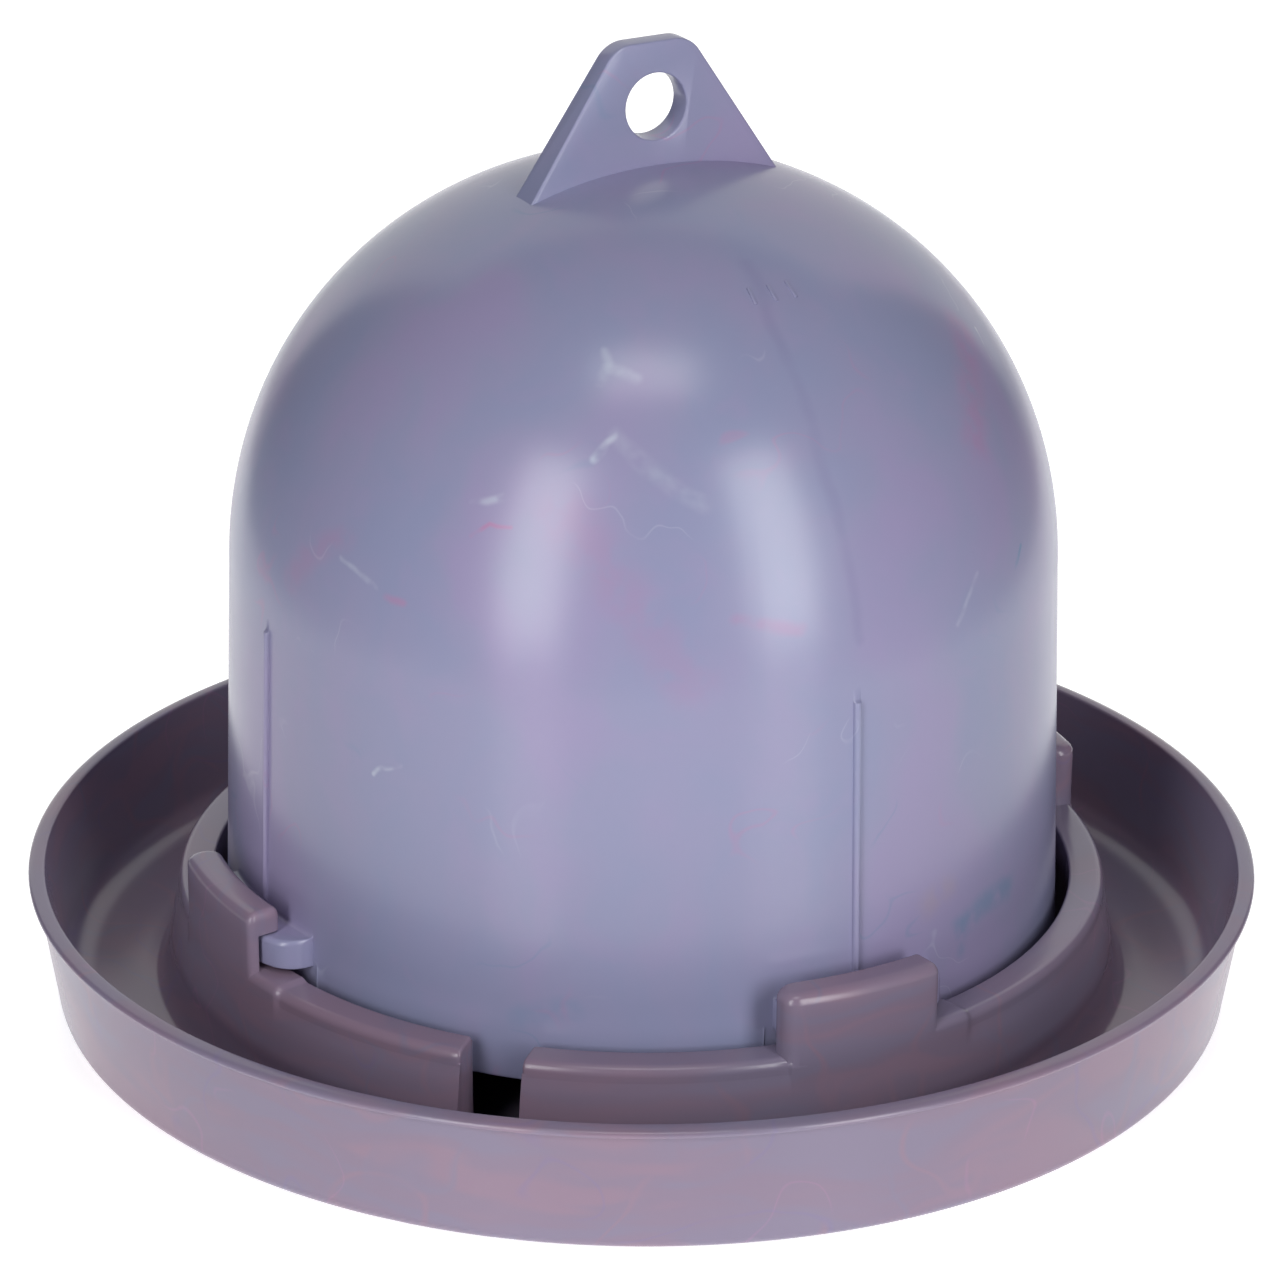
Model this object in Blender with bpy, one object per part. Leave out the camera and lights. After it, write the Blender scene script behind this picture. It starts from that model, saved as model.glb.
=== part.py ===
"""Poultry waterer fount: a domed reservoir bell locked onto a round drinking tray by a twist.

Units are metres, +Z is up, and the origin is on the floor below the centre of the tray.
The four locking lugs and their ribs lie on the X and Y axes, and the hanging eyelet's
plate runs along X. Angles are in degrees, counterclockwise from +X seen from above.
"""
import math

import bmesh
import bpy

MM = 0.001
WALL = 2.1 * MM                 # moulded wall thickness of both pieces
LOCK_ANGLES = (0, 90, 180, 270)

# Bell: a drafted cylinder that opens downwards, under a nearly round dome
BELL_BOTTOM_Z = 16.8 * MM       # this edge sets the water level in the tray
SHOULDER_Z = 99.2 * MM
SHOULDER_R = 90.0 * MM
DOME_TOP_Z = 188.5 * MM
DOME_FULLNESS = 2.05            # 2 would be a true ellipse
DRAFT = 0.03                    # radius gained for each unit of height below the shoulder
BELL_STEPS = 64
DOME_RINGS = 13

# Ribs that run down the bell, from the shoulder to the lugs
RIB_WIDTH = 1.4 * MM
RIB_PROUD = 0.9 * MM

# Lugs of the twist lock
LUG_Z = (28.8 * MM, 35.4 * MM)
LUG_R = 100.8 * MM
LUG_ROOT_R = 91.2 * MM          # inside the bell's wall
LUG_HALF_SPAN = 12.0

# Hanging eyelet on top of the dome
EYELET_X = 0.4 * MM             # the plate stands a little off the axis
EYELET_TOP_Z = 215.0 * MM
EYELET_TOP_HALF = 9.0 * MM      # half width at the top, before its corners are rounded
EYELET_SIDE_SLOPE = 0.625       # half width gained for each unit of height downwards
EYELET_CORNER_R = 7.0 * MM
EYELET_BASE_HALF = 30.5 * MM
EYELET_THICKNESS = 6.4 * MM
EYELET_HOLE_R = 7.2 * MM
EYELET_HOLE_X = 0.8 * MM
EYELET_HOLE_Z = 201.0 * MM

# Tray: flat floor, outer wall with a lip, and a raised collar around the bell
TRAY_STEPS = 80
FLOOR = 2.2 * MM
RIM_R = 136.0 * MM
RIM_Z = 30.2 * MM
LIP_R = 1.0 * MM                # radius of the lip's round nose
LIP_INNER_EDGE_R = 0.6 * MM
WALL_TOP_R = 134.4 * MM         # outer face of the wall, under the lip
WALL_BASE_R = 130.5 * MM
BASE_CORNER_R = 2.7 * MM
TROUGH_FILLET_R = 7.0 * MM
COLLAR_Z = 26.9 * MM
COLLAR_INNER_R = 95.2 * MM
COLLAR_OUTER_R = 102.9 * MM
COLLAR_EDGE_R = 2.0 * MM
COLLAR_FOOT_R = 108.8 * MM

# Water outlet: a notch through the collar, down to the trough's floor
OUTLET_ANGLE = -136.4
OUTLET_WIDTH = 13.4 * MM

# Hooks on the collar: closed behind, open in front, with a seat under each lug
HOOK_SPAN = (-13.4, 8.2)        # from each lock angle
SEAT_SPAN = (-13.4, 12.6)
POCKET_START = -12.3
HOOK_R = (95.6 * MM, 103.8 * MM)
SEAT_R = (95.9 * MM, 103.5 * MM)
POCKET_R = 101.3 * MM
HOOK_TOP_Z = 41.3 * MM
SEAT_Z = 27.6 * MM
POCKET_TOP_Z = 35.9 * MM

BELL_COLOUR = (0.27, 0.26, 0.42, 1.0)
TRAY_COLOUR = (0.34, 0.28, 0.38, 1.0)
PLASTIC_ROUGHNESS = 0.35


def clear_scene():
    for item in list(bpy.data.objects):
        bpy.data.objects.remove(item, do_unlink=True)


def plastic(name, colour):
    material = bpy.data.materials.new(name)
    material.use_nodes = True
    shader = material.node_tree.nodes["Principled BSDF"]
    shader.inputs["Base Color"].default_value = colour
    shader.inputs["Roughness"].default_value = PLASTIC_ROUGHNESS
    shader.inputs["Metallic"].default_value = 0.0
    material.diffuse_color = colour
    return material


def to_object(name, bm, material=None):
    bmesh.ops.recalc_face_normals(bm, faces=bm.faces[:])
    mesh = bpy.data.meshes.new(name)
    bm.to_mesh(mesh)
    bm.free()
    item = bpy.data.objects.new(name, mesh)
    bpy.context.scene.collection.objects.link(item)
    if material:
        mesh.materials.append(material)
    return item


def boolean(target, tool, operation):
    tool.hide_render = True
    tool.display_type = 'WIRE'
    modifier = target.modifiers.new(tool.name, 'BOOLEAN')
    modifier.object = tool
    modifier.operation = operation
    modifier.solver = 'EXACT'


def arc(centre, radius, start, end, steps):
    """Points of a circular arc in an (r, z) section, angles in degrees."""
    points = []
    for step in range(steps + 1):
        angle = math.radians(start + (end - start) * step / steps)
        points.append((centre[0] + radius * math.cos(angle), centre[1] + radius * math.sin(angle)))
    return points


def lathe(name, outline, steps, material=None):
    """Turn a closed (r, z) outline about the Z axis."""
    bm = bmesh.new()
    verts = [bm.verts.new((r, 0.0, z)) for r, z in outline]
    edges = [bm.edges.new((verts[i - 1], verts[i])) for i in range(len(verts))]
    axis_edges = [e for e in edges if max(v.co.x for v in e.verts) == 0.0]
    for edge in axis_edges:
        bm.edges.remove(edge)
    bmesh.ops.spin(bm, geom=verts + bm.edges[:], cent=(0, 0, 0), axis=(0, 0, 1),
                   angle=2 * math.pi, steps=steps, use_merge=True)
    bmesh.ops.remove_doubles(bm, verts=bm.verts[:], dist=0.01 * MM)
    return to_object(name, bm, material)


def extrude_plan(bm, plan, z_low, z_high):
    """Raise a plan outline of (x, y) points into a prism."""
    face = bm.faces.new([bm.verts.new((x, y, z_low)) for x, y in plan])
    raised = bmesh.ops.extrude_face_region(bm, geom=[face])
    moved = [v for v in raised["geom"] if isinstance(v, bmesh.types.BMVert)]
    bmesh.ops.translate(bm, verts=moved, vec=(0, 0, z_high - z_low))


def polar(radius, degrees):
    angle = math.radians(degrees)
    return radius * math.cos(angle), radius * math.sin(angle)


def sector(bm, radii, span, heights, steps=6):
    """A block of a ring: inner and outer radius, start and end angle, bottom and top."""
    angles = [span[0] + (span[1] - span[0]) * step / steps for step in range(steps + 1)]
    plan = [polar(radii[1], a) for a in angles] + [polar(radii[0], a) for a in reversed(angles)]
    extrude_plan(bm, plan, *heights)


def at_each_lock(radii, span, heights, name):
    bm = bmesh.new()
    for lock in LOCK_ANGLES:
        sector(bm, radii, (lock + span[0], lock + span[1]), heights)
    return to_object(name, bm)


def bell_radius(z):
    return SHOULDER_R + DRAFT * (SHOULDER_Z - z)


def dome_section(inset):
    """Quarter section of the dome, from the shoulder up to the axis."""
    points = []
    for ring in range(DOME_RINGS + 1):
        angle = 0.5 * math.pi * ring / DOME_RINGS
        power = 2 / DOME_FULLNESS
        r = (SHOULDER_R - inset) * max(math.cos(angle), 0.0) ** power
        z = SHOULDER_Z + (DOME_TOP_Z - inset - SHOULDER_Z) * math.sin(angle) ** power
        points.append((r if ring < DOME_RINGS else 0.0, z))
    return points


def dome_height(distance, inset):
    """Height of the dome at a distance from the axis."""
    share = 1 - (distance / (SHOULDER_R - inset)) ** DOME_FULLNESS
    return SHOULDER_Z + (DOME_TOP_Z - inset - SHOULDER_Z) * share ** (1 / DOME_FULLNESS)


def bell_shell(material):
    bottom_r = bell_radius(BELL_BOTTOM_Z)
    outline = [(bottom_r, BELL_BOTTOM_Z)] + dome_section(0.0)
    outline += list(reversed(dome_section(WALL))) + [(bottom_r - WALL, BELL_BOTTOM_Z)]
    return lathe("bell", outline, BELL_STEPS, material)


def rib_tool():
    """Four thin vertical strips that follow the bell's draft."""
    bm = bmesh.new()
    z_low = LUG_Z[1] - 2 * MM
    for lock in LOCK_ANGLES:
        angle = math.radians(lock)
        out = (math.cos(angle), math.sin(angle))
        side = (-math.sin(angle), math.cos(angle))
        corners = []
        for z in (z_low, SHOULDER_Z):
            r_mid = bell_radius(z) - 0.5 * WALL
            r_out = bell_radius(z) + RIB_PROUD
            for r, s in ((r_mid, -1), (r_out, -1), (r_out, 1), (r_mid, 1)):
                half = 0.5 * s * RIB_WIDTH
                place = (r * out[0] + half * side[0], r * out[1] + half * side[1], z)
                corners.append(bm.verts.new(place))
        bm.faces.new(corners[:4])
        bm.faces.new(corners[4:])
        for i in range(4):
            j = (i + 1) % 4
            bm.faces.new((corners[i], corners[j], corners[4 + j], corners[4 + i]))
    return to_object("rib_tool", bm)


def lug_tool():
    """Four lugs with full, rounded ends in plan."""
    bm = bmesh.new()
    steps = 14
    for lock in LOCK_ANGLES:
        plan = []
        for step in range(steps + 1):
            turn = -math.cos(math.pi * step / steps)
            reach = max(1 - abs(turn) ** 4, 0.0) ** 0.4
            plan.append(polar(LUG_ROOT_R + (LUG_R - LUG_ROOT_R) * reach, lock + LUG_HALF_SPAN * turn))
        extrude_plan(bm, plan, *LUG_Z)
    return to_object("lug_tool", bm)


def eyelet_tool():
    """Plate with sloping sides and rounded corners, its foot sunk halfway into the dome."""
    slope_angle = math.degrees(math.atan2(1.0, EYELET_SIDE_SLOPE))
    tangent = EYELET_CORNER_R * math.tan(math.radians(slope_angle / 2))
    centre = (EYELET_TOP_HALF - tangent, EYELET_TOP_Z - EYELET_CORNER_R)
    right_corner = arc(centre, EYELET_CORNER_R, 90 - slope_angle, 90, 5)
    left_corner = [(-x, z) for x, z in reversed(right_corner)]
    foot_steps = 10
    foot = []
    for step in range(foot_steps + 1):
        x = EYELET_BASE_HALF * (2 * step / foot_steps - 1)
        foot.append((x, dome_height(abs(x + EYELET_X), 0.5 * WALL)))
    outline = foot + right_corner + left_corner
    bm = bmesh.new()
    face = bm.faces.new([bm.verts.new((x + EYELET_X, -0.5 * EYELET_THICKNESS, z)) for x, z in outline])
    pulled = bmesh.ops.extrude_face_region(bm, geom=[face])
    moved = [v for v in pulled["geom"] if isinstance(v, bmesh.types.BMVert)]
    bmesh.ops.translate(bm, verts=moved, vec=(0, EYELET_THICKNESS, 0))
    return to_object("eyelet_tool", bm)


def eyelet_hole_tool():
    bpy.ops.mesh.primitive_cylinder_add(vertices=32, radius=EYELET_HOLE_R, depth=4 * EYELET_THICKNESS,
                                        location=(EYELET_HOLE_X, 0, EYELET_HOLE_Z),
                                        rotation=(math.pi / 2, 0, 0))
    tool = bpy.context.object
    tool.name = "eyelet_hole_tool"
    return tool


def build_bell():
    bell = bell_shell(plastic("bell_plastic", BELL_COLOUR))
    for tool in (rib_tool(), lug_tool(), eyelet_tool()):
        boolean(bell, tool, 'UNION')
    boolean(bell, eyelet_hole_tool(), 'DIFFERENCE')
    return bell


def tray_outline():
    """Section of the tray: underside, outer wall, lip, trough, collar and centre floor."""
    corner = (WALL_BASE_R - BASE_CORNER_R, BASE_CORNER_R)
    nose = (RIM_R - LIP_R, RIM_Z - LIP_R)
    inner_edge = (WALL_TOP_R - WALL + LIP_INNER_EDGE_R, RIM_Z - LIP_INNER_EDGE_R)
    wall_foot = (WALL_BASE_R - WALL + 0.4 * MM - TROUGH_FILLET_R, FLOOR + TROUGH_FILLET_R)
    collar_edge = (COLLAR_OUTER_R - COLLAR_EDGE_R, COLLAR_Z - COLLAR_EDGE_R)
    outline = [(0.0, 0.0)]
    outline += arc(corner, BASE_CORNER_R, -90, 0, 3)
    outline.append((WALL_TOP_R, RIM_Z - 2 * LIP_R))
    outline += arc(nose, LIP_R, -90, 90, 6)
    outline += arc(inner_edge, LIP_INNER_EDGE_R, 90, 180, 2)
    outline += arc(wall_foot, TROUGH_FILLET_R, 0, -90, 5)
    foot_height = 10 * MM
    flare = 4.0 * MM            # how far the collar's foot leans out above its fillet
    for step in range(5):
        share = math.radians(90 * step / 4)
        r = COLLAR_FOOT_R - flare * math.sin(share)
        z = FLOOR + foot_height * (1 - math.cos(share))
        outline.append((r, z))
    outline += arc(collar_edge, COLLAR_EDGE_R, 0, 90, 3)
    outline += [(COLLAR_INNER_R, COLLAR_Z), (COLLAR_INNER_R, FLOOR), (0.0, FLOOR)]
    return outline


def outlet_tool():
    """Box across the collar, standing on the trough's floor."""
    bm = bmesh.new()
    half = 0.5 * OUTLET_WIDTH
    near, far = COLLAR_INNER_R - 4 * MM, COLLAR_FOOT_R + 2 * MM
    angle = math.radians(OUTLET_ANGLE)
    plan = []
    for along, across in ((near, -half), (far, -half), (far, half), (near, half)):
        plan.append((along * math.cos(angle) - across * math.sin(angle),
                     along * math.sin(angle) + across * math.cos(angle)))
    extrude_plan(bm, plan, FLOOR, COLLAR_Z + 3 * MM)
    return to_object("outlet_tool", bm)


def groove_tool():
    """Hollow under the collar, open below and closed on both sides of the outlet."""
    steps = 66
    inner_r = COLLAR_INNER_R + WALL
    section = [(inner_r, -MM), (inner_r, COLLAR_Z - WALL), (COLLAR_OUTER_R - WALL, COLLAR_Z - WALL),
               (COLLAR_OUTER_R - WALL + 0.5 * MM, FLOOR + 10 * MM), (COLLAR_FOOT_R - 2.6 * MM, -MM)]
    closed_half = math.degrees((0.5 * OUTLET_WIDTH + WALL) / inner_r)
    start = OUTLET_ANGLE + closed_half
    sweep = 360 - 2 * closed_half
    bm = bmesh.new()
    rings = []
    for step in range(steps + 1):
        angle = math.radians(start + sweep * step / steps)
        rings.append([bm.verts.new((r * math.cos(angle), r * math.sin(angle), z)) for r, z in section])
    for ring, following in zip(rings, rings[1:]):
        for i in range(len(section)):
            bm.faces.new((ring[i - 1], ring[i], following[i], following[i - 1]))
    bm.faces.new(rings[0])
    bm.faces.new(rings[-1])
    return to_object("groove_tool", bm)


def build_tray():
    tray = lathe("tray", tray_outline(), TRAY_STEPS, plastic("tray_plastic", TRAY_COLOUR))
    z_root = 13 * MM            # inside the collar's wall
    hooks = at_each_lock(HOOK_R, HOOK_SPAN, (z_root, HOOK_TOP_Z), "hook_tool")
    seats = at_each_lock(SEAT_R, SEAT_SPAN, (z_root + MM, SEAT_Z), "seat_tool")
    pocket_span = (POCKET_START, HOOK_SPAN[1] + 3)
    pockets = at_each_lock((COLLAR_INNER_R - 3 * MM, POCKET_R), pocket_span,
                           (SEAT_Z, POCKET_TOP_Z), "pocket_tool")
    boolean(tray, hooks, 'UNION')
    boolean(tray, seats, 'UNION')
    boolean(tray, pockets, 'DIFFERENCE')
    boolean(tray, groove_tool(), 'DIFFERENCE')
    boolean(tray, outlet_tool(), 'DIFFERENCE')
    return tray


def main():
    clear_scene()
    for piece in (build_bell(), build_tray()):
        piece.data.shade_smooth()
        piece.data.set_sharp_from_angle(angle=math.radians(32))


main()
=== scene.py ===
"""Looks of the poultry waterer fount: a reservoir bell and its drinking tray in marbled plastic.

Lengths are in millimetres and become metres where points are made. Angles are in degrees,
counterclockwise from +X seen from above. Sections are lists of (radius, height).
"""

import math

import bmesh
import bpy
from mathutils import Matrix, Vector


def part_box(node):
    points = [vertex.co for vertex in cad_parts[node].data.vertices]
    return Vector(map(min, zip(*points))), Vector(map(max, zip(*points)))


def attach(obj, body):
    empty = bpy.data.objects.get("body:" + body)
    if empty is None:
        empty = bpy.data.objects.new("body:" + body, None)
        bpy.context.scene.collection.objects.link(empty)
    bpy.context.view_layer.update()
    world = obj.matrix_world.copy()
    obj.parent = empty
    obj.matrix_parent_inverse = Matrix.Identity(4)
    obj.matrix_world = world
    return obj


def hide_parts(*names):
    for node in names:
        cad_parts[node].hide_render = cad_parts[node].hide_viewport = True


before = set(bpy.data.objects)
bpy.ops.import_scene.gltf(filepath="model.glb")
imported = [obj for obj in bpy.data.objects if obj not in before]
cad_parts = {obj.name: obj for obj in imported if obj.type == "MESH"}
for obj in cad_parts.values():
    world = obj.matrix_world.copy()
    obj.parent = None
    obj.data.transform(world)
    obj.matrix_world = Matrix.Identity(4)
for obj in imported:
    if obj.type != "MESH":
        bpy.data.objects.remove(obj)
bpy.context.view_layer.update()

MM = 0.001
BELL_LOW, BELL_HIGH = (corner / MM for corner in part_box("bell"))
TRAY_LOW, TRAY_HIGH = (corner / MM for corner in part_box("tray"))

LOCKS = (0.0, 90.0, 180.0, -90.0)
WALL = 2.1

# Bell
BELL_BOTTOM = BELL_LOW.z
BELL_TOP = BELL_HIGH.z
SHOULDER_Z = 99.2
SHOULDER_R = 90.0
DOME_TOP = 188.5
DOME_FULLNESS = 2.05
DRAFT = 0.03
RIB_PROUD = 0.95
RIB_HALF = 0.85                     # half width of a rib, whose section is round
LUG_R = BELL_HIGH.x
LUG_LOW, LUG_HIGH = 28.8, 35.4
LUG_HALF_SPAN = 12.0                # in front of the lock angle
LUG_BACK_SPAN = 11.6                # and behind it, under the hook
LUG_EDGE = 1.3
SPLIT_LINE = 12.9                   # the mould's split line beside each lug
SPLIT_PROUD = 0.16

# Eyelet plate
EYELET_X = 0.4                      # the plate stands a little off the axis
EYELET_HOLE_X = 0.8
EYELET_HOLE_Z = 201.0
EYELET_HOLE_R = 7.2
EYELET_SLOPE = 0.625
EYELET_TOP_HALF = 9.0
EYELET_CORNER = 7.0
EYELET_BASE_HALF = 30.5
EYELET_HALF_THICK = (3.7, 2.45)    # at the dome and at the top

# Raised strokes on the dome
STROKE_ANGLES = (-93.5, -88.2, -82.9)
STROKE_R = 50.5
STROKE_LENGTH = 4.4
STROKE_WIDTH = 0.7
STROKE_PROUD = 0.3

# Tray
FLOOR = 2.2
RIM_R = TRAY_HIGH.x
RIM_Z = 30.2
LIP_HEIGHT = 2.0
LIP_CROWN = (2.6, 1.2)              # width and height of the lip's rounded outer top
LIP_INNER_EDGE = 0.7
WALL_TOP_R = 134.4
WALL_BASE_R = 130.5
BASE_CORNER = 2.7
WALL_FOOT = 7.0
COLLAR_IN = 95.2
LEAN_Z = 24.0                       # below this height the collar's outer face leans out
LEAN = 0.195                        # radius gained for each unit of height below it
FOOT_R = 108.8
FOOT_LEAN = 4.0
FOOT_HEIGHT = 10.0
SEAT_Z = 27.6
POCKET_TOP = 35.9
POCKET_R = 101.3
HOOK_BACK, HOOK_FRONT = -12.6, 8.0
POCKET_BACK = -11.8
BOSS_START, SEAT_START, SEAT_END = -11.6, -9.4, 12.9
OUTLET_ANGLE = -136.4
OUTLET_HALF = 6.7
OUTLET_EDGE = 0.7                   # rounding of the collar's edges at the outlet
# a collar section's outer radius, top and top outer rounding
PLAIN = (102.9, 26.9, 2.0)
BOSS = (103.48, 26.9, 2.0)          # under the back of a hook
SEAT = (103.48, SEAT_Z, 2.0)
HOOK_INNER, HOOK_OUTER = 95.6, 103.5
HOOK_ROOT = 25.3                    # above the hollow under the collar
HOOK_CORNERS = (3.8, 1.6)           # plan radii of the hook's corners, behind and in front
HOOK_TOP_EDGE = (2.6, 1.8, 3.0, 1.5)    # how far the rounded top is drawn in: outer, inner, back, front
HOOK_TOP_DROP = 2.3                 # height of that rounding
BASE_STEP = 1.5                     # degrees between columns where nothing changes
ARC_MM = math.radians(1) * 100.0    # one degree along the collar


def arc(centre, radius, start, end, steps):
    """Points of a circular arc in a section."""
    points = []
    for step in range(steps + 1):
        angle = math.radians(start + (end - start) * step / steps)
        points.append((centre[0] + radius * math.cos(angle), centre[1] + radius * math.sin(angle)))
    return points


def spread(start, end, steps):
    """Evenly spaced points from start to end, both included."""
    return [tuple(a + (b - a) * step / steps for a, b in zip(start, end)) for step in range(steps + 1)]


def smoothstep(low, high, value):
    share = min(max((value - low) / (high - low), 0.0), 1.0)
    return share * share * (3 - 2 * share)


def at(r, z, degrees):
    angle = math.radians(degrees)
    return r * math.cos(angle) * MM, r * math.sin(angle) * MM, z * MM


def turned(angle):
    """An angle brought into -180 to 180."""
    return (angle + 180.0) % 360.0 - 180.0


def from_lock(angle):
    """Signed angle from the nearest lock angle."""
    return min((turned(angle - lock) for lock in LOCKS), key=abs)


def grid_object(name, columns):
    """A closed skin over columns of points, whose first and last points are its two poles."""
    rows = len(columns[0]) - 2
    verts = [columns[0][0], columns[0][-1]]
    for column in columns:
        verts.extend(column[1:-1])
    faces = []
    for number in range(len(columns)):
        here = 2 + number * rows
        there = 2 + (number + 1) % len(columns) * rows
        faces.append((0, here, there))
        for row in range(rows - 1):
            faces.append((here + row, here + row + 1, there + row + 1, there + row))
        faces.append((here + rows - 1, 1, there + rows - 1))
    mesh = bpy.data.meshes.new(name)
    mesh.from_pydata(verts, [], faces)
    bm = bmesh.new()
    bm.from_mesh(mesh)
    return solid(name, bm)


def solid(name, bm):
    """A new object from a bmesh, which is freed."""
    bmesh.ops.recalc_face_normals(bm, faces=bm.faces[:])
    mesh = bpy.data.meshes.new(name)
    bm.to_mesh(mesh)
    bm.free()
    item = bpy.data.objects.new(name, mesh)
    bpy.context.scene.collection.objects.link(item)
    return item


def stack(bm, rings):
    """A closed skin over rings of vertices, with a flat face on the first and the last ring."""
    for ring, following in zip(rings, rings[1:]):
        for i in range(len(ring)):
            bm.faces.new((ring[i - 1], ring[i], following[i], following[i - 1]))
    bm.faces.new(rings[0])
    bm.faces.new(rings[-1])


def boolean(target, tool, operation):
    modifier = target.modifiers.new(operation, 'BOOLEAN')
    modifier.object = tool
    modifier.operation = operation
    modifier.solver = 'EXACT'


def settle(item, tools=()):
    """Apply an object's modifiers and delete its tools."""
    graph = bpy.context.evaluated_depsgraph_get()
    mesh = bpy.data.meshes.new_from_object(item.evaluated_get(graph))
    item.modifiers.clear()
    item.data = mesh
    for tool in tools:
        bpy.data.objects.remove(tool, do_unlink=True)


def shade(item, sharp=38):
    item.data.shade_smooth()
    item.data.set_sharp_from_angle(angle=math.radians(sharp))


# ---- Tray

def collar_wall_r(z, outer):
    """Outer face of the collar: it leans out downwards, and a boss stands proud of it."""
    lean = PLAIN[0] + max(LEAN_Z - z, 0.0) * LEAN
    return max(lean, outer)


def collar_rows(shape, inset=0.0):
    """Section of the collar from its inner foot, over the top, to its outer foot."""
    outer, top, edge = shape
    outer, top, inner = outer - inset, top - inset, COLLAR_IN + inset
    edge = max(edge - inset, 0.6)
    inner_edge = 0.6
    rows = arc((COLLAR_IN - 2, FLOOR + 2), 2.0, -90, 0, 5)
    rows += spread((COLLAR_IN, 8.0), (COLLAR_IN, 26.0), 3)
    rows += spread((inner, 26.15), (inner, top - inner_edge), 6)
    rows += arc((inner + inner_edge, top - inner_edge), inner_edge, 180, 90, 4)[1:]
    rows += spread((inner + inner_edge, top), (outer - edge, top), 3)[1:]
    rows += arc((outer - edge, top - edge), edge, 90, 0, 8)[1:]
    low = 23.3
    for _, z in spread((0, top - edge), (0, low), 8)[1:]:
        rows.append((max(outer, PLAIN[0]) if z < LEAN_Z else outer, z))
    for _, z in spread((0, low), (0, FLOOR + FOOT_HEIGHT), 6)[1:]:
        rows.append((collar_wall_r(z, outer), z))
    for step in range(1, 11):
        turn = math.radians(90 - 9 * step)
        rows.append((FOOT_R - FOOT_LEAN * math.sin(turn), FLOOR + FOOT_HEIGHT * (1 - math.cos(turn))))
    return rows


def outlet_rows(count):
    """The collar's rows laid flat on the floor of the outlet notch."""
    return spread((COLLAR_IN - 2, FLOOR), (FOOT_R, FLOOR), count - 1)


def rim_rows():
    """Trough floor, outer wall inside, lip, outer wall outside and base corner."""
    foot_r = WALL_BASE_R - WALL + 0.4 - WALL_FOOT
    rows = spread((111.5, FLOOR), (foot_r, FLOOR), 2)
    rows += arc((foot_r, FLOOR + WALL_FOOT), WALL_FOOT, -90, -6, 9)[1:]
    wall_top = WALL_TOP_R - WALL
    rows += spread(rows[-1], (wall_top, RIM_Z - LIP_INNER_EDGE), 4)[1:]
    rows += arc((wall_top + LIP_INNER_EDGE, RIM_Z - LIP_INNER_EDGE), LIP_INNER_EDGE, 174, 90, 5)[1:]
    width, height = LIP_CROWN
    for x, z in arc((0.0, 0.0), 1.0, 90, 0, 10):
        rows.append((RIM_R - width + x * width, RIM_Z - height + z * height))
    under = RIM_Z - LIP_HEIGHT
    nose = LIP_HEIGHT - height
    rows += arc((RIM_R - nose, under + nose), nose, 0, -90, 5)[1:]
    fillet = 0.35
    rows += arc((WALL_TOP_R + fillet, under - fillet), fillet, 90, 180, 4)
    rows += spread(rows[-1], (WALL_BASE_R, BASE_CORNER), 5)[1:]
    rows += arc((WALL_BASE_R - BASE_CORNER, BASE_CORNER), BASE_CORNER, 0, -90, 8)[1:]
    return rows


def underside_rows(open_below):
    """The flat underside with the hollow under the collar, which is closed at the outlet."""
    groove = [(FOOT_R - 2.6, 0.0), (103.4, 6.0), (101.4, 12.0), (100.7, 22.0), (100.0, 24.5),
              (98.6, 24.8), (97.6, 24.2), (COLLAR_IN + WALL, 22.0), (COLLAR_IN + WALL, 0.0)]
    if not open_below:
        groove = spread(groove[0], groove[-1], len(groove) - 1)
    return [(118.0, 0.0)] + groove + [(60.0, 0.0), (0.0, 0.0)]


def fillet_rise(distance, radius):
    """Height of a concave fillet at a distance from the face that it climbs."""
    reach = max(radius - distance, 0.0)
    return radius - math.sqrt(radius * radius - reach * reach)


def blend_shape(low, high, share):
    return tuple(a + (b - a) * share for a, b in zip(low, high))


def collar_columns():
    """(angle, section rows) of every column, with close columns where the collar changes."""
    columns = []
    steps = ((BOSS_START, 0.8, PLAIN, BOSS), (SEAT_START, 0.8, BOSS, SEAT), (SEAT_END, 2.2, SEAT, PLAIN))
    for lock in LOCKS:
        for middle, length, before, after in steps:
            for share in (0.0, 0.15, 0.35, 0.5, 0.65, 0.85, 1.0):
                shape = blend_shape(before, after, smoothstep(0, 1, share))
                columns.append((lock + middle + (share - 0.5) * length / ARC_MM, collar_rows(shape)))
    busy = [(lock + middle, 0.9) for lock in LOCKS for middle, _, _, _ in steps]
    busy.append((OUTLET_ANGLE, 6.4))
    for step in range(int(360 / BASE_STEP)):
        angle = turned(step * BASE_STEP)
        if any(abs(turned(angle - centre)) < half for centre, half in busy):
            continue
        rel = from_lock(angle)
        if SEAT_START < rel < SEAT_END:
            shape = SEAT
        elif BOSS_START < rel < SEAT_END:
            shape = BOSS
        else:
            shape = PLAIN
        columns.append((angle, collar_rows(shape)))
    return columns


def notch_angle(r, offset):
    """Angle of a point at a sideways offset from the outlet's middle."""
    return OUTLET_ANGLE + math.degrees(math.asin(offset / max(r, 90.0)))


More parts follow.
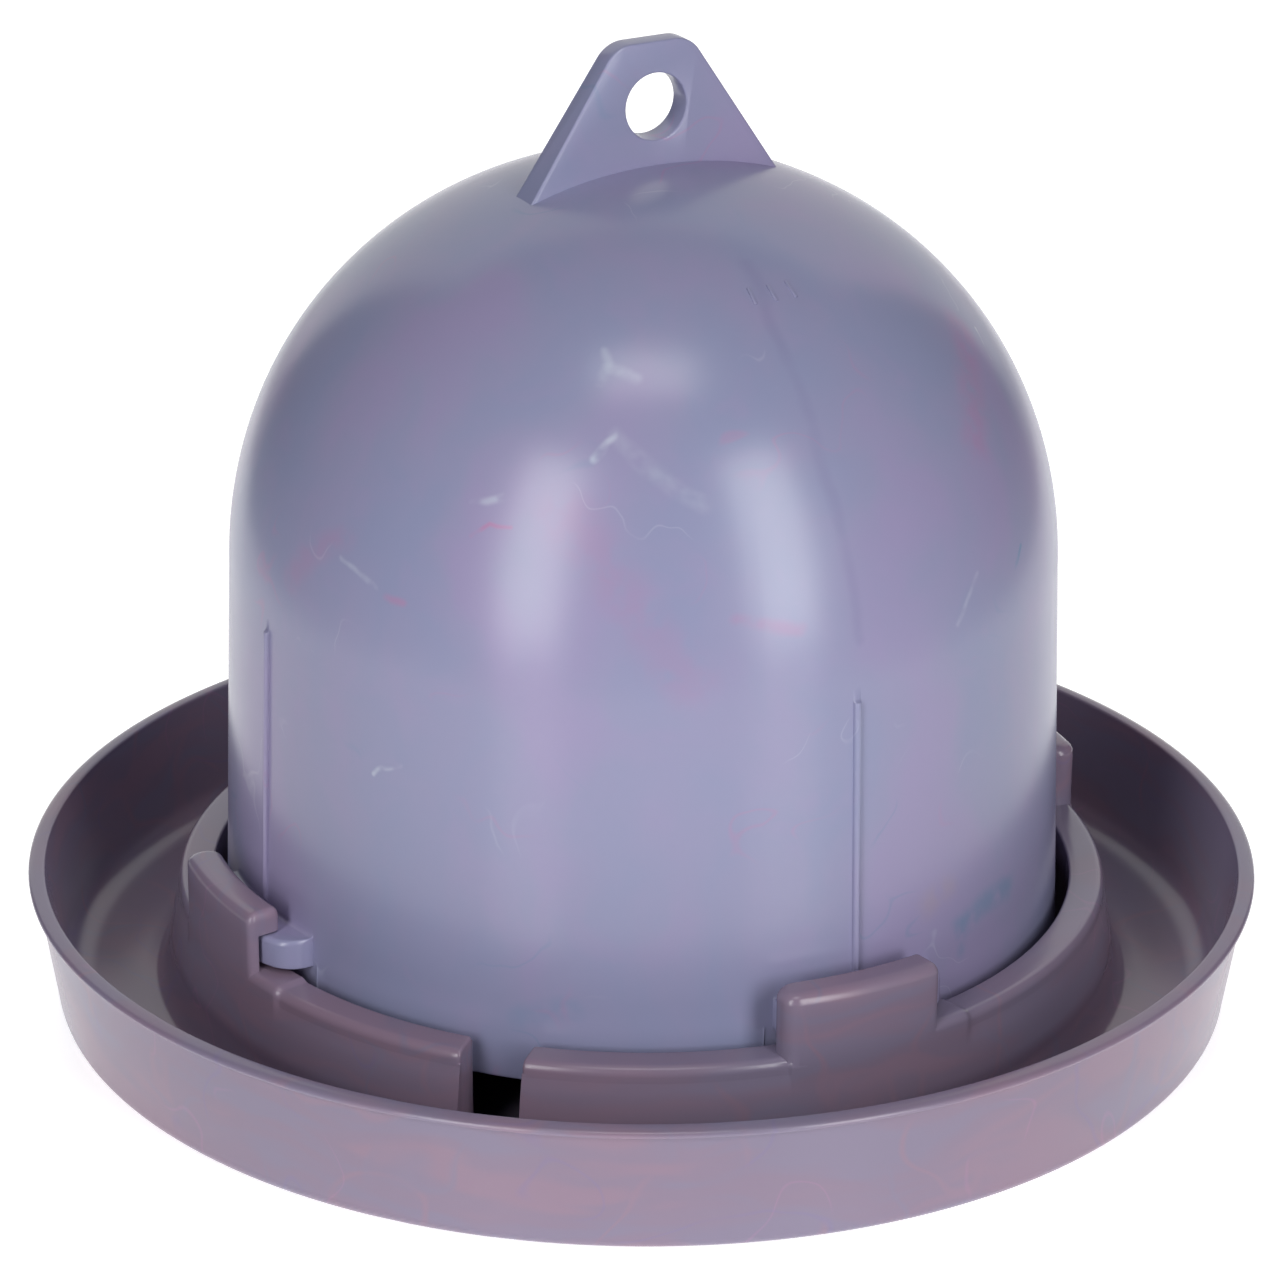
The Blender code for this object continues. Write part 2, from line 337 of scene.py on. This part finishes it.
def tray_columns():
    """All of the tray's columns in order of angle, the notch's with straight, parallel sides."""
    centre = [(0.0, FLOOR), (50.0, FLOOR), (85.0, FLOOR)]
    rim = rim_rows()
    columns = []
    for angle, rows in collar_columns():
        section = centre + rows + rim + underside_rows(True)
        columns.append((turned(angle), [at(r, z, angle) for r, z in section]))
    plain = collar_rows(PLAIN)
    for side in (-1, 1):
        steps = []
        for distance in (0.0, 0.1, 0.25, 0.45, OUTLET_EDGE):
            inset = fillet_rise(distance, OUTLET_EDGE)
            steps.append((OUTLET_HALF + distance, collar_rows(PLAIN, inset)))
        steps += [(OUTLET_HALF - inwards, outlet_rows(len(plain))) for inwards in (0.02, 3)]
        steps += [(OUTLET_HALF + WALL, plain), (OUTLET_HALF + WALL + 0.05, plain)]
        for offset, rows in steps:
            open_below = offset > OUTLET_HALF + WALL
            section = centre + rows + rim + underside_rows(open_below)
            points = [at(r, z, notch_angle(r, side * offset)) for r, z in section]
            columns.append((OUTLET_ANGLE + side * math.degrees(offset / 98), points))
    middle = centre + outlet_rows(len(plain)) + rim + underside_rows(False)
    columns.append((OUTLET_ANGLE, [at(r, z, OUTLET_ANGLE) for r, z in middle]))
    columns.sort(key=lambda item: item[0])
    return [points for _, points in columns]


def pocket_tool():
    """One closed block for each lug's pocket, a little above its seat so that their faces don't meet."""
    bm = bmesh.new()
    low, high = SEAT_Z + 0.02, POCKET_TOP
    steps = 16
    start, end = POCKET_BACK, HOOK_FRONT + 0.5
    for lock in LOCKS:
        rings = []
        for step in range(steps + 1):
            angle = lock + start + (end - start) * step / steps
            corners = ((COLLAR_IN - 4, low), (POCKET_R, low), (POCKET_R, high), (COLLAR_IN - 4, high))
            rings.append([bm.verts.new(at(r, z, angle)) for r, z in corners])
        stack(bm, rings)
    return solid("pockets", bm)


def hook_plan(outer, inner, rear, nose):
    """Rounded plan of a hook at one level, as (radius, angle from the lock), drawn in from its faces."""
    low, high = HOOK_INNER + inner, HOOK_OUTER - outer
    back, front = HOOK_BACK * ARC_MM + rear, HOOK_FRONT * ARC_MM - nose
    behind, ahead = HOOK_CORNERS
    behind = min(max(behind - 0.5 * (outer + inner), 0.4), 0.49 * (high - low))
    ahead = max(ahead - nose, 0.4)
    plan = arc((front - ahead, high - ahead), ahead, 0, 90, 6)
    plan += spread((front - ahead, high), (back + behind, high), 16)[1:-1]
    plan += arc((back + behind, high - behind), behind, 90, 180, 8)
    plan += arc((back + behind, low + behind), behind, 180, 270, 8)
    plan += spread((back + behind, low), (front - ahead, low), 16)[1:-1]
    plan += arc((front - ahead, low + ahead), ahead, -90, 0, 6)
    return [(r, along / ARC_MM) for along, r in plan]


def make_hooks():
    """Four blocks with round corners and round top edges, standing on the collar."""
    top = TRAY_HIGH.z - HOOK_TOP_DROP
    levels = [(z, hook_plan(0.0, 0.0, 0.0, 0.0)) for z in (HOOK_ROOT, 29.0, 33.0, 36.0)]
    for x, z in arc((0.0, 0.0), 1.0, 0, 90, 8):
        insets = [(1 - x) * width for width in HOOK_TOP_EDGE]
        levels.append((top + z * HOOK_TOP_DROP, hook_plan(*insets)))
    bm = bmesh.new()
    for lock in LOCKS:
        rings = [[bm.verts.new(at(r, z, lock + angle)) for r, angle in plan] for z, plan in levels]
        stack(bm, rings)
    return solid("hooks", bm)


def make_tray(material):
    tray = grid_object("tray_moulding", tray_columns())
    hooks = make_hooks()
    pockets = pocket_tool()
    boolean(tray, hooks, 'UNION')
    boolean(tray, pockets, 'DIFFERENCE')
    settle(tray, [hooks, pockets])
    shade(tray)
    tray.data.materials.clear()
    tray.data.materials.append(material)
    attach(tray, "tray")
    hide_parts("tray")
    return tray


# ---- Bell

def bell_r(z):
    return SHOULDER_R + DRAFT * (SHOULDER_Z - z)


def rib_height(rel, z):
    """How far the rib stands proud at an angle from its middle."""
    aside = abs(math.radians(rel)) * bell_r(z) / RIB_HALF
    side = max(1 - aside ** 2.5, 0.0) ** 0.5
    top = 1 - smoothstep(SHOULDER_Z - 0.8, SHOULDER_Z - 0.2, z)
    return RIB_PROUD * side * top


def lug_reach(rel):
    """How far the lug stands proud: full ends in plan."""
    share = abs(rel) / (LUG_HALF_SPAN if rel > 0 else LUG_BACK_SPAN)
    if share >= 1:
        return 0.0
    return (LUG_R - bell_r(LUG_HIGH)) * (1 - share ** 4) ** 0.4


def split_height(rel, z):
    aside = abs(abs(rel) - SPLIT_LINE) * math.radians(1) * bell_r(z)
    upright = 1 - smoothstep(0.05, 0.28, aside)
    return SPLIT_PROUD * upright * smoothstep(LUG_LOW + 0.4, LUG_LOW, z)


def lug_rows(rel):
    """Section over a lug; beside it the same rows lie on the wall."""
    reach = lug_reach(rel)
    low, high = LUG_LOW - 0.3, LUG_HIGH + 0.9
    wall_low, wall_high = bell_r(LUG_LOW), bell_r(LUG_HIGH)
    flat_count = 22
    flat = [(bell_r(z), z) for _, z in spread((0, low), (0, high), flat_count - 1)]
    if reach <= 0:
        return flat
    tip = wall_high + reach
    small = min(0.6, 0.4 * reach)
    big = min(LUG_EDGE, 0.5 * reach)
    fillet = min(0.8, 0.4 * reach)
    rows = [(wall_low, low), (wall_low, LUG_LOW), (0.5 * (wall_low + tip), LUG_LOW)]
    rows += arc((tip - small, LUG_LOW + small), small, -90, 0, 4)
    rows += [(tip, 0.5 * (LUG_LOW + LUG_HIGH))]
    rows += arc((tip - big, LUG_HIGH - big), big, 0, 90, 6)
    rows += [(0.5 * (tip - big + wall_high + fillet), LUG_HIGH)]
    rows += arc((wall_high + fillet, LUG_HIGH + fillet), fillet, -90, -180, 3)
    rows += [(bell_r(high), high)]
    return rows


def dome_rows(inset, steps):
    """Dome section from the shoulder to the axis, without the shoulder itself."""
    rows = []
    power = 2 / DOME_FULLNESS
    for step in range(1, steps + 1):
        angle = 0.5 * math.pi * step / steps
        r = (SHOULDER_R - inset) * max(math.cos(angle), 0.0) ** power
        z = SHOULDER_Z + (DOME_TOP - inset - SHOULDER_Z) * math.sin(angle) ** power
        rows.append((r, z))
    rows[-1] = (0.0, DOME_TOP - inset)
    return rows


def bell_column(angle):
    """Outer skin from the dome's top down to the lower edge, then up inside."""
    rel = from_lock(angle)
    edge = 0.7
    bottom_r = bell_r(BELL_BOTTOM)
    outside = arc((bottom_r - edge, BELL_BOTTOM + edge), edge, -90, 0, 4)
    wall_z = (19, 21.5, 24, 25.2, 25.8, 28.0)
    outside += [(bell_r(z) + split_height(rel, z), z) for z in wall_z]
    outside += [(r + split_height(rel, z), z) for r, z in lug_rows(rel)]
    rib_z = (37.5, 45, 55, 65, 75, 85, 92, 96.5, 98.2, 98.5, 98.8, SHOULDER_Z)
    outside += [(bell_r(z) + rib_height(rel, z), z) for z in rib_z]
    outside += dome_rows(0.0, 56)
    inner_bottom = (bottom_r - WALL + edge, BELL_BOTTOM + edge)
    inside = arc(inner_bottom, edge, -90, -180, 4)
    inside += spread(inside[-1], (SHOULDER_R - WALL, SHOULDER_Z), 4)[1:]
    inside += dome_rows(WALL, 24)
    return [at(r, z, angle) for r, z in list(reversed(outside)) + inside]


def bell_angles():
    """Angles of the bell's columns, close together at the ribs, lug ends and split lines."""
    close = (0.0, 0.1, 0.2, 0.3, 0.38, 0.44, 0.49, 0.52, 0.535, 0.55, 0.75)
    lug_end = (9.4, 10.2, 10.8, 11.2, 11.5, 11.7, 11.85, 11.95, 11.99, 12.0, 12.3)
    split = (12.7, 12.78, 12.84, 12.9, 12.96, 13.02, 13.1)
    near = sorted(set(close + lug_end + split))
    angles = set()
    for lock in LOCKS:
        for rel in near:
            angles.add(round(turned(lock + rel), 4))
            angles.add(round(turned(lock - rel), 4))
    for step in range(int(360 / BASE_STEP)):
        angle = turned(step * BASE_STEP)
        if all(abs(turned(angle - other)) > 0.45 for other in angles):
            angles.add(round(angle, 4))
    return sorted(angles)


def dome_height(distance, inset):
    share = 1 - (distance / (SHOULDER_R - inset)) ** DOME_FULLNESS
    return SHOULDER_Z + (DOME_TOP - inset - SHOULDER_Z) * share ** (1 / DOME_FULLNESS)


def eyelet_outline():
    """Outline of the plate as (x, z), with round upper corners and its foot sunk into the dome."""
    slope = math.degrees(math.atan2(1.0, EYELET_SLOPE))
    tangent = EYELET_CORNER * math.tan(math.radians(slope / 2))
    centre = (EYELET_TOP_HALF - tangent, BELL_TOP - EYELET_CORNER)
    right = arc(centre, EYELET_CORNER, 90 - slope, 90, 12)
    left = [(-x, z) for x, z in reversed(right)]
    foot = []
    for x, _ in spread((-EYELET_BASE_HALF, 0), (EYELET_BASE_HALF, 0), 24):
        foot.append((x, dome_height(abs(x + EYELET_X), 0.5 * WALL)))
    return foot + right + left


def make_eyelet():
    """Drafted plate with a round hole and softened edges."""
    outline = eyelet_outline()
    z_low = min(z for _, z in outline)
    thick_low, thick_high = EYELET_HALF_THICK
    bm = bmesh.new()
    sides = []
    for side in (-1, 1):
        ring = []
        for x, z in outline:
            share = (z - z_low) / (BELL_TOP - z_low)
            y = side * (thick_low + (thick_high - thick_low) * share)
            ring.append(bm.verts.new(((x + EYELET_X) * MM, y * MM, z * MM)))
        sides.append(ring)
        bm.faces.new(ring)
    for i in range(len(outline)):
        bm.faces.new((sides[0][i - 1], sides[0][i], sides[1][i], sides[1][i - 1]))
    plate = solid("eyelet", bm)
    hole = make_hole()
    boolean(plate, hole, 'DIFFERENCE')
    bevel = plate.modifiers.new("edges", 'BEVEL')
    bevel.width = 0.45 * MM
    bevel.segments = 3
    bevel.limit_method = 'ANGLE'
    bevel.angle_limit = math.radians(40)
    settle(plate, [hole])
    return plate


def make_hole():
    bm = bmesh.new()
    middle = Matrix.Translation((EYELET_HOLE_X * MM, 0, EYELET_HOLE_Z * MM))
    turn = middle @ Matrix.Rotation(math.pi / 2, 4, 'X')
    bmesh.ops.create_cone(bm, cap_ends=True, segments=72, radius1=EYELET_HOLE_R * MM,
                          radius2=EYELET_HOLE_R * MM, depth=20 * MM, matrix=turn)
    return solid("hole", bm)


def make_strokes():
    """Three plain raised strokes on the dome, where such a bell has its capacity mark."""
    bm = bmesh.new()
    height = dome_height(STROKE_R, 0.0)
    slope = (dome_height(STROKE_R + 0.5, 0.0) - dome_height(STROKE_R - 0.5, 0.0))
    for angle in STROKE_ANGLES:
        turn = Matrix.Rotation(math.radians(angle), 4, 'Z')
        tilt = Matrix.Rotation(-math.atan(slope), 4, 'Y')
        place = turn @ Matrix.Translation((STROKE_R * MM, 0, height * MM)) @ tilt
        size = Matrix.Diagonal((STROKE_LENGTH * MM, STROKE_WIDTH * MM, 2 * STROKE_PROUD * MM, 1))
        made = bmesh.ops.create_cube(bm, size=1.0, matrix=place @ size)
        edges = {edge for vert in made["verts"] for edge in vert.link_edges}
        bmesh.ops.bevel(bm, geom=list(edges), offset=0.12 * MM, segments=2, affect='EDGES', profile=0.5)
    return solid("strokes", bm)


def make_bell(material):
    bell = grid_object("bell_moulding", [bell_column(angle) for angle in bell_angles()])
    eyelet = make_eyelet()
    strokes = make_strokes()
    boolean(bell, eyelet, 'UNION')
    boolean(bell, strokes, 'UNION')
    settle(bell, [eyelet, strokes])
    shade(bell)
    bell.data.materials.clear()
    bell.data.materials.append(material)
    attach(bell, "bell")
    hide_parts("bell")
    return bell


# ---- Materials

LAVENDER = (0.272, 0.268, 0.418)
BLUE_GREY = (0.252, 0.268, 0.418)
PINK_LAVENDER = (0.294, 0.260, 0.426)
MAUVE = (0.226, 0.174, 0.248)
PINK_MAUVE = (0.252, 0.176, 0.244)
SLATE = (0.212, 0.180, 0.262)
PINK = (0.430, 0.185, 0.345)
WHITE = (0.560, 0.600, 0.690)
TEAL = (0.110, 0.240, 0.370)
SAND = (0.350, 0.280, 0.330)
DUSK = (0.190, 0.160, 0.310)

# Wisps of unmixed colour on the bell's front: points on its surface, half width, colour, strength
BELL_WISPS = (
    (((-88, -9, 113), (-86, -15, 121), (-83, -23, 126)), 3.0, PINK, 0.24),
    (((-84, -24, 122), (-82, -30, 121), (-81, -35, 119)), 0.6, WHITE, 0.32),
    (((-80, -37, 118), (-78, -41, 117)), 0.9, PINK, 0.45),
    (((-66, -48, 139), (-61, -52, 141)), 0.8, WHITE, 0.40),
    (((-67, -50, 133), (-64, -52, 136), (-61, -55, 136)), 0.5, PINK, 0.70),
    (((-45, -60, 149), (-42, -60, 152), (-40, -60, 153)), 0.8, WHITE, 0.50),
    (((-40, -60, 153), (-36, -67, 148), (-28, -75, 141)), 1.7, WHITE, 0.18),
    (((-36, -48, 167), (-36, -50, 165), (-39, -52, 161)), 0.9, WHITE, 0.24),
    (((-36, -51, 164), (-33, -55, 163)), 1.3, WHITE, 0.22),
    (((-52, -62, 139), (-48, -69, 131), (-43, -76, 120), (-35, -82, 107)), 5.5, PINK, 0.20),
    (((-83, -36, 79), (-82, -38, 81), (-80, -42, 82)), 0.6, WHITE, 0.50),
    (((29, -87, 40), (37, -84, 42), (44, -80, 42)), 2.8, TEAL, 0.42),
    (((29, -87, 34), (29, -87, 40)), 1.8, TEAL, 0.32),
    (((19, -89, 48), (24, -88, 50)), 3.5, SAND, 0.40),
    (((-65, -66, 31), (-57, -72, 34)), 2.8, TEAL, 0.22),
    (((49, -49, 158), (45, -59, 151), (40, -69, 141)), 4.5, PINK, 0.30),
    (((56, -43, 156), (56, -49, 150)), 0.5, WHITE, 0.50),
    (((0, -43, 178), (-2, -56, 170), (-2, -69, 157), (-2, -79, 143), (0, -86, 126), (1, -89, 112)),
     1.5, DUSK, 0.20),
    (((50, -73, 118), (46, -76, 113)), 0.5, TEAL, 0.60),
    (((33, -82, 117), (27, -85, 109)), 0.6, WHITE, 0.20),
    (((-25, -84, 119), (-12, -88, 116)), 1.4, PINK, 0.30),
)


class Graph:
    """Short calls for the nodes of one material. Places are object coordinates in millimetres."""

    def __init__(self, name):
        self.material = bpy.data.materials.new(name)
        self.material.use_nodes = True
        self.tree = self.material.node_tree
        self.shader = self.tree.nodes["Principled BSDF"]
        metres = self.add("ShaderNodeTexCoord").outputs["Object"]
        self.place = self.vector('SCALE', metres, scale=1 / MM)

    def add(self, kind, **settings):
        node = self.tree.nodes.new(kind)
        for key, value in settings.items():
            setattr(node, key, value)
        return node

    def feed(self, socket, value):
        if isinstance(value, bpy.types.NodeSocket):
            self.tree.links.new(value, socket)
        elif isinstance(value, tuple) and socket.type == 'RGBA':
            socket.default_value = (*value, 1.0)
        else:
            socket.default_value = value

    def math(self, operation, *values, clamp=False):
        node = self.add("ShaderNodeMath", operation=operation, use_clamp=clamp)
        for socket, value in zip(node.inputs, values):
            self.feed(socket, value)
        return node.outputs[0]

    def vector(self, operation, first, second=None, scale=None):
        node = self.add("ShaderNodeVectorMath", operation=operation)
        self.feed(node.inputs[0], first)
        if second is not None:
            self.feed(node.inputs[1], second)
        if scale is not None:
            self.feed(node.inputs["Scale"], scale)
        gives_number = operation in ('LENGTH', 'DOT_PRODUCT', 'DISTANCE')
        return node.outputs["Value" if gives_number else "Vector"]

    def noise(self, place, size, detail=2.0, output="Fac"):
        """Noise whose patches are about size millimetres wide."""
        node = self.add("ShaderNodeTexNoise")
        self.feed(node.inputs["Vector"], place)
        node.inputs["Scale"].default_value = 1 / size
        node.inputs["Detail"].default_value = detail
        return node.outputs[output]

    def ramp(self, value, low, high):
        """0 at low, 1 at high, smooth between them."""
        node = self.add("ShaderNodeMapRange", interpolation_type='SMOOTHSTEP')
        self.feed(node.inputs["Value"], value)
        node.inputs["From Min"].default_value = low
        node.inputs["From Max"].default_value = high
        return node.outputs["Result"]

    def blend(self, share, under, over):
        node = self.add("ShaderNodeMix", data_type='RGBA')
        self.feed(node.inputs["Factor"], share)
        self.feed(node.inputs[6], under)
        self.feed(node.inputs[7], over)
        return node.outputs[2]

    def warped(self, place, size, reach, detail=2.0):
        """A place pushed around by noise, up to about reach millimetres."""
        push = self.vector('SUBTRACT', self.noise(place, size, detail, "Color"), (0.5, 0.5, 0.5))
        return self.vector('ADD', place, self.vector('SCALE', push, scale=2 * reach))

    def moved(self, place, offset):
        return self.vector('ADD', place, offset)

    def thread(self, place, size, width, detail=1.0):
        """Thin curling lines along the middle level of a noise."""
        level = self.math('ABSOLUTE', self.math('SUBTRACT', self.noise(place, size, detail), 0.5))
        return self.math('SUBTRACT', 1.0, self.ramp(level, 0.0, width))

    def distance(self, place, start, end):
        """Distance from a place to the straight line between two points."""
        along = Vector(end) - Vector(start)
        offset = self.vector('SUBTRACT', place, tuple(start))
        share = self.vector('DOT_PRODUCT', offset, tuple(along / along.length_squared))
        share = self.math('MULTIPLY', share, 1.0, clamp=True)
        nearest = self.vector('SCALE', tuple(along), scale=share)
        return self.vector('DISTANCE', offset, nearest)

    def wisp(self, place, points, half_width):
        """1 on a line through the points, fading out beside it."""
        gap = None
        for start, end in zip(points, points[1:]):
            piece = self.distance(place, start, end)
            gap = piece if gap is None else self.math('MINIMUM', gap, piece)
        return self.math('SUBTRACT', 1.0, self.ramp(gap, 0.15 * half_width, 1.6 * half_width))


def finish_plastic(graph, colour, roughness, swing):
    """Colour, slightly uneven gloss and a faint moulded unevenness."""
    graph.feed(graph.shader.inputs["Base Color"], colour)
    uneven = graph.noise(graph.place, 14.0, 3.0)
    gloss = graph.math('MULTIPLY_ADD', uneven, swing, roughness - 0.5 * swing)
    graph.feed(graph.shader.inputs["Roughness"], gloss)
    graph.shader.inputs["IOR"].default_value = 1.5
    bump = graph.add("ShaderNodeBump")
    bump.inputs["Strength"].default_value = 0.10
    bump.inputs["Distance"].default_value = 0.1 * MM
    graph.feed(bump.inputs["Height"], graph.noise(graph.place, 11.0, 1.0))
    graph.feed(graph.shader.inputs["Normal"], bump.outputs["Normal"])
    return graph.material


def scattered_wisps(graph, colour, flow, kinds):
    """Thin curls of unmixed colour, each kind only in scattered spots."""
    for number, (tint, size, width, spot_size, threshold, strength) in enumerate(kinds):
        shift = (37.0 * (number + 1), 51.0 * (number + 1), 23.0 * (number + 1))
        place = graph.moved(flow, shift)
        lines = graph.thread(place, size, width)
        patches = graph.noise(graph.moved(graph.place, shift), spot_size, 1.0)
        spots = graph.ramp(patches, threshold, threshold + 0.09)
        share = graph.math('MULTIPLY', graph.math('MULTIPLY', lines, spots), strength)
        colour = graph.blend(share, colour, tint)
    return colour


def bell_plastic():
    """Lavender plastic, clouded blue and pink, with wisps of unmixed colour."""
    graph = Graph("bell_plastic")
    flow = graph.warped(graph.place, 38.0, 16.0, 3.0)
    stretched = graph.vector('MULTIPLY', flow, (1.0, 1.0, 0.45))
    clouds = graph.noise(stretched, 34.0, 3.0)
    colour = graph.blend(graph.ramp(clouds, 0.36, 0.56), BLUE_GREY, LAVENDER)
    colour = graph.blend(graph.ramp(clouds, 0.50, 0.68), colour, PINK_LAVENDER)
    mottle = graph.noise(graph.moved(flow, (90.0, 0.0, 40.0)), 12.0, 3.0)
    share = graph.math('MULTIPLY', graph.ramp(mottle, 0.52, 0.75), 0.35)
    colour = graph.blend(share, colour, PINK_LAVENDER)
    kinds = (
        (PINK, 21.0, 0.014, 30.0, 0.60, 0.25),
        (WHITE, 17.0, 0.010, 26.0, 0.62, 0.16),
        (TEAL, 24.0, 0.014, 34.0, 0.64, 0.22),
    )
    colour = scattered_wisps(graph, colour, flow, kinds)
    ragged = graph.warped(graph.place, 11.0, 1.8, 2.0)
    frayed = graph.ramp(graph.noise(graph.place, 5.0, 2.0), 0.22, 0.60)
    for points, half_width, tint, strength in BELL_WISPS:
        share = graph.math('MULTIPLY', graph.wisp(ragged, points, half_width), strength)
        if tint is not DUSK:
            share = graph.math('MULTIPLY', share, frayed)
        colour = graph.blend(share, colour, tint)
    return finish_plastic(graph, colour, 0.24, 0.05)


def tray_plastic():
    """Mauve plastic in pink and slate layers, which show most on the outer wall."""
    graph = Graph("tray_plastic")
    flow = graph.warped(graph.place, 46.0, 13.0, 2.0)
    layers = graph.noise(graph.vector('MULTIPLY', flow, (0.5, 0.5, 2.6)), 26.0, 2.0)
    colour = graph.blend(graph.ramp(layers, 0.38, 0.52), SLATE, MAUVE)
    colour = graph.blend(graph.ramp(layers, 0.52, 0.66), colour, PINK_MAUVE)
    kinds = (
        (PINK_MAUVE, 34.0, 0.024, 40.0, 0.46, 0.80),
        (SLATE, 30.0, 0.022, 36.0, 0.48, 0.70),
        (PINK, 26.0, 0.010, 36.0, 0.53, 0.16),
        (DUSK, 30.0, 0.014, 34.0, 0.50, 0.26),
    )
    colour = scattered_wisps(graph, colour, flow, kinds)
    return finish_plastic(graph, colour, 0.24, 0.05)


def pale_floor():
    """Pale floor, lit from below around the object and behind it, as a light table is."""
    graph = Graph("floor_paint")
    node = graph.add("ShaderNodeVectorRotate", rotation_type='Z_AXIS')
    graph.feed(node.inputs["Vector"], graph.place)
    node.inputs["Angle"].default_value = math.radians(-CAMERA_AZIMUTH)
    split = graph.add("ShaderNodeSeparateXYZ")
    graph.feed(split.inputs["Vector"], node.outputs["Vector"])
    ahead = graph.math('MAXIMUM', graph.math('MULTIPLY', split.outputs["Y"], -1.0), 0.0)
    beyond = graph.math('MAXIMUM', graph.math('SUBTRACT', split.outputs["Y"], TABLE_DEPTH), 0.0)
    flat = graph.add("ShaderNodeCombineXYZ")
    graph.feed(flat.inputs["X"], split.outputs["X"])
    graph.feed(flat.inputs["Y"], graph.math('ADD', ahead, beyond))
    away = graph.vector('LENGTH', flat.outputs["Vector"])
    lit = graph.math('SUBTRACT', 1.0, graph.ramp(away, TABLE_EDGE[0], TABLE_EDGE[1]))
    graph.feed(graph.shader.inputs["Base Color"], graph.blend(lit, FLOOR_SHADE, TABLE_SHADE))
    graph.shader.inputs["Roughness"].default_value = 0.15
    graph.shader.inputs["Emission Color"].default_value = (1.0, 1.0, 1.0, 1.0)
    graph.feed(graph.shader.inputs["Emission Strength"], graph.math('MULTIPLY', lit, TABLE_GLOW))
    return graph.material


# ---- Stage, light and camera

CAMERA_AZIMUTH = -29.0
CAMERA_DISTANCE = 1011.9            # along the floor, from the axis
CAMERA_HEIGHT = 501.8
CAMERA_PITCH = 22.68
CAMERA_ROLL = 0.35
CAMERA_PAN = 0.036                  # to the left, in degrees
CAMERA_LENS = 140.6

TABLE_EDGE = (360.0, 450.0)         # where the floor's glow starts to fade and where it ends
TABLE_DEPTH = 2500.0                # how far it runs behind the object
TABLE_GLOW = 0.66
TABLE_SHADE = (0.88, 0.88, 0.88)
FLOOR_SHADE = (0.60, 0.60, 0.60)     # outside the table
# azimuth from the camera (to the right), elevation, distance, width, height and power of each lamp
LAMPS = {
    "left_softbox": (-30, 16, 2.0, 0.62, 2.1, 26.2),
    "right_softbox": (38, 16, 2.0, 0.62, 2.1, 27.5),
    "top_softbox": (2, 71, 1.6, 0.66, 0.36, 3.2),
    "backdrop": (180, 26, 2.0, 3.1, 2.4, 21.0),
}


def make_camera():
    data = bpy.data.cameras.new("camera")
    data.lens = CAMERA_LENS
    data.sensor_width = 36.0
    data.clip_start = 0.05
    data.clip_end = 20.0
    camera = bpy.data.objects.new("camera", data)
    bpy.context.scene.collection.objects.link(camera)
    azimuth = math.radians(CAMERA_AZIMUTH)
    camera.location = Vector((math.sin(azimuth) * CAMERA_DISTANCE, -math.cos(azimuth) * CAMERA_DISTANCE,
                              CAMERA_HEIGHT)) * MM
    pose = Matrix.Rotation(azimuth + math.radians(CAMERA_PAN), 4, 'Z')
    pose = pose @ Matrix.Rotation(math.radians(90 - CAMERA_PITCH), 4, 'X')
    pose = pose @ Matrix.Rotation(math.radians(CAMERA_ROLL), 4, 'Z')
    camera.rotation_euler = pose.to_euler()
    bpy.context.scene.camera = camera


def make_floor():
    bpy.ops.mesh.primitive_plane_add(size=12.0, location=(0, 0, TRAY_LOW.z * MM))
    floor = bpy.context.object
    floor.name = "floor"
    floor.data.materials.append(pale_floor())


def make_lamp(name, azimuth, elevation, distance, width, height, power):
    """A soft rectangular lamp that looks at the object and that the camera doesn't see."""
    data = bpy.data.lights.new(name, 'AREA')
    data.shape = 'RECTANGLE'
    data.size = width
    data.size_y = height
    data.energy = power
    lamp = bpy.data.objects.new(name, data)
    bpy.context.scene.collection.objects.link(lamp)
    turn = math.radians(CAMERA_AZIMUTH + azimuth)
    rise = math.radians(elevation)
    way = Vector((math.sin(turn) * math.cos(rise), -math.cos(turn) * math.cos(rise), math.sin(rise)))
    lamp.location = Vector((0, 0, 0.1)) + way * distance
    lamp.rotation_euler = (-way).to_track_quat('-Z', 'Y').to_euler()
    lamp.visible_camera = False


def make_world():
    world = bpy.data.worlds.new("studio")
    world.use_nodes = True
    background = world.node_tree.nodes["Background"]
    background.inputs["Color"].default_value = (1, 1, 1, 1)
    background.inputs["Strength"].default_value = 0.01
    bpy.context.scene.world = world


def main():
    make_tray(tray_plastic())
    make_bell(bell_plastic())
    make_floor()
    make_world()
    for name, settings in LAMPS.items():
        make_lamp(name, *settings)
    make_camera()
    bpy.context.scene.view_settings.view_transform = 'Standard'


main()
